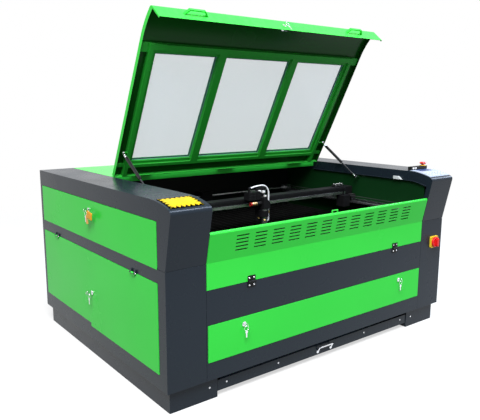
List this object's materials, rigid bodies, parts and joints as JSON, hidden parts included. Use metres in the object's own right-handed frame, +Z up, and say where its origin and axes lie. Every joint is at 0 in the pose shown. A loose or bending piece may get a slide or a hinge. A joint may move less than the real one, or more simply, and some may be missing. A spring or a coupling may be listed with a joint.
{
  "type": "laser cutting machine",
  "caption": "Flat-bed gantry laser cutter with end cabinets, flip-up windowed lid on gas struts, louvred front flap, access doors, scrap drawer and belt-driven laser head.",
  "frame": {"origin": "centre of the footprint, on the floor", "axes": "+X to the operator's right, +Y from the front to the rear, +Z up"},
  "size_m": [1.912, 1.4786, 1.6724],
  "materials": {
    "slate_paint": "fine powder coat",
    "green_paint": "satin powder coat",
    "lid_inner_paint": "satin powder coat",
    "chamber_paint": "satin powder coat",
    "table_aluminium": "milled",
    "black_anodised": "anodised",
    "bright_steel": "ground",
    "chrome": "plated",
    "black_metal": "satin",
    "belt_rubber": "matte",
    "tube_glass": "clear",
    "pane": "clear acrylic",
    "electronics_grey": "textured",
    "panel_white": "satin",
    "screen": "gloss",
    "black_plastic": "textured",
    "yellow_plastic": "satin",
    "red_plastic": "gloss",
    "hose_white": "satin"
  },
  "bodies": {
    "cabinet": {"plinths": "slate_paint", "left_pedestal": "slate_paint", "right_pedestal": "slate_paint", "left_cap": "slate_paint", "right_cap": "slate_paint", "left_wall": "chamber_paint", "right_wall": "chamber_paint", "rear_wall": "chamber_paint", "front_panel": "slate_paint", "rear_panel": "slate_paint", "rear_deck": "green_paint", "floor_pan": "chamber_paint", "table_frame": "table_aluminium", "blade_slats": "table_aluminium", "y_rails": "bright_steel", "y_belts": "belt_rubber", "y_motor": "black_metal", "laser_tube": "tube_glass", "tube_mounts": "table_aluminium", "power_supply": "electronics_grey", "controller": "electronics_grey", "control_panel": "panel_white", "control_screen": "screen", "switch_box": "black_plastic", "lid_switch": "panel_white", "isolator_plate": "yellow_plastic", "flap_hinge_base": "black_metal"},
    "lid": {"lid_skin": "green_paint", "lid_frame": "lid_inner_paint", "lid_panes": "pane", "lid_handles": "green_paint"},
    "lid_lock": {"lid_lock": "chrome"},
    "left_strut_cylinder": {"left_strut_cylinder": "black_metal"},
    "right_strut_cylinder": {"right_strut_cylinder": "black_metal"},
    "left_strut_rod": {"left_strut_rod": "bright_steel"},
    "right_strut_rod": {"right_strut_rod": "bright_steel"},
    "flap": {"flap": "green_paint", "flap_hinge_leaf": "black_metal"},
    "front_door": {"front_door": "green_paint"},
    "front_left_lock": {"front_left_lock": "chrome"},
    "front_right_lock": {"front_right_lock": "chrome"},
    "drawer": {"drawer_tray": "slate_paint", "drawer_handle": "chrome"},
    "left_upper_door": {"left_upper_door": "green_paint"},
    "left_upper_lock": {"left_upper_lock": "chrome"},
    "left_lower_door": {"left_lower_door": "green_paint"},
    "left_lower_lock": {"left_lower_lock": "chrome"},
    "right_door": {"right_door": "green_paint"},
    "right_lock": {"right_lock": "chrome"},
    "gantry": {"gantry_beam": "black_anodised", "gantry_rail": "bright_steel", "gantry_end_blocks": "table_aluminium", "x_motor": "black_metal"},
    "carriage": {"head_plate": "black_anodised", "lens_tube": "bright_steel", "head_mirror": "black_anodised", "air_hose": "hose_white"},
    "drive_shaft": {"y_drive_shaft": "bright_steel"},
    "e_stop": {"e_stop_button": "red_plastic"},
    "isolator": {"isolator_knob": "red_plastic"}
  },
  "joints": [
    {"name": "lid_hinge", "type": "hinge", "parent": "cabinet", "child": "lid", "pos_m": [0, 0.16531, 0.888], "axis": [-1, 0, 0], "range_deg": [-62.5, 0]},
    {"name": "lid_lock_turn", "type": "hinge", "parent": "lid", "child": "lid_lock", "pos_m": [0, -0.32643, 1.64157], "axis": [0, -0.6361, 0.7716], "range_deg": [0, 90]},
    {"name": "left_strut_pivot", "type": "hinge", "parent": "lid", "child": "left_strut_cylinder", "pos_m": [-0.707, 0.07646, 1.01537], "axis": [1, 0, 0], "range_deg": [-86, 0]},
    {"name": "left_strut_stroke", "type": "slide", "parent": "left_strut_cylinder", "child": "left_strut_rod", "axis": [0, 0.8339, 0.552], "range_m": [0, 0.1195]},
    {"name": "right_strut_pivot", "type": "hinge", "parent": "lid", "child": "right_strut_cylinder", "pos_m": [0.707, 0.07646, 1.01537], "axis": [1, 0, 0], "range_deg": [-86, 0]},
    {"name": "right_strut_stroke", "type": "slide", "parent": "right_strut_cylinder", "child": "right_strut_rod", "axis": [0, 0.8339, 0.552], "range_m": [0, 0.1195]},
    {"name": "flap_hinge", "type": "hinge", "parent": "cabinet", "child": "flap", "pos_m": [0, -0.69669, 0.499], "axis": [1, 0, 0], "range_deg": [0, 90]},
    {"name": "front_door_hinge", "type": "hinge", "parent": "cabinet", "child": "front_door", "pos_m": [0, -0.69269, 0.181], "axis": [1, 0, 0], "range_deg": [0, 90]},
    {"name": "front_left_lock_turn", "type": "hinge", "parent": "front_door", "child": "front_left_lock", "pos_m": [-0.537, -0.69069, 0.313], "axis": [0, -1, 0], "range_deg": [0, 90]},
    {"name": "front_right_lock_turn", "type": "hinge", "parent": "front_door", "child": "front_right_lock", "pos_m": [0.537, -0.69069, 0.313], "axis": [0, -1, 0], "range_deg": [0, 90]},
    {"name": "drawer_slide", "type": "slide", "parent": "cabinet", "child": "drawer", "axis": [0, -1, 0], "range_m": [0, 0.6]},
    {"name": "left_upper_door_hinge", "type": "hinge", "parent": "cabinet", "child": "left_upper_door", "pos_m": [-0.927, 0.00831, 0.6105], "axis": [0, -1, 0], "range_deg": [0, 90]},
    {"name": "left_upper_lock_turn", "type": "hinge", "parent": "left_upper_door", "child": "left_upper_lock", "pos_m": [-0.925, 0.00831, 0.759], "axis": [-1, 0, 0], "range_deg": [0, 90]},
    {"name": "left_lower_door_hinge", "type": "hinge", "parent": "cabinet", "child": "left_lower_door", "pos_m": [-0.9313, 0.00831, 0.553], "axis": [0, 1, 0], "range_deg": [0, 90]},
    {"name": "left_lower_lock_turn", "type": "hinge", "parent": "left_lower_door", "child": "left_lower_lock", "pos_m": [-0.925, 0.00831, 0.348], "axis": [-1, 0, 0], "range_deg": [0, 90]},
    {"name": "right_door_hinge", "type": "hinge", "parent": "cabinet", "child": "right_door", "pos_m": [0.9313, 0.00831, 0.553], "axis": [0, -1, 0], "range_deg": [0, 90]},
    {"name": "right_lock_turn", "type": "hinge", "parent": "right_door", "child": "right_lock", "pos_m": [0.925, 0.00831, 0.348], "axis": [1, 0, 0], "range_deg": [0, 90]},
    {"name": "gantry_travel", "type": "slide", "parent": "cabinet", "child": "gantry", "axis": [0, 1, 0], "range_m": [-0.37, 0.45]},
    {"name": "carriage_travel", "type": "slide", "parent": "gantry", "child": "carriage", "axis": [1, 0, 0], "range_m": [-0.47, 0.56]},
    {"name": "drive_shaft_turn", "type": "hinge", "parent": "cabinet", "child": "drive_shaft", "pos_m": [0, 0.38931, 0.69], "axis": [-1, 0, 0], "range_deg": [-1101, 1338]},
    {"name": "e_stop_press", "type": "slide", "parent": "cabinet", "child": "e_stop", "axis": [0, 0, -1], "range_m": [0, 0.005], "stiffness_N_per_m": 2000},
    {"name": "isolator_turn", "type": "hinge", "parent": "cabinet", "child": "isolator", "pos_m": [0.849, -0.70069, 0.482], "axis": [0, -1, 0], "range_deg": [0, 90]}
  ],
  "couplings": [
    {"joint": "drive_shaft_turn", "follows": "gantry_travel", "rad_per_m": 51.813},
    {"joint": "left_strut_pivot", "follows": "lid_hinge", "ratio": 1.3474},
    {"joint": "left_strut_stroke", "follows": "lid_hinge", "m_per_rad": -0.10909},
    {"joint": "right_strut_pivot", "follows": "lid_hinge", "ratio": 1.3474},
    {"joint": "right_strut_stroke", "follows": "lid_hinge", "m_per_rad": -0.10909}
  ]
}
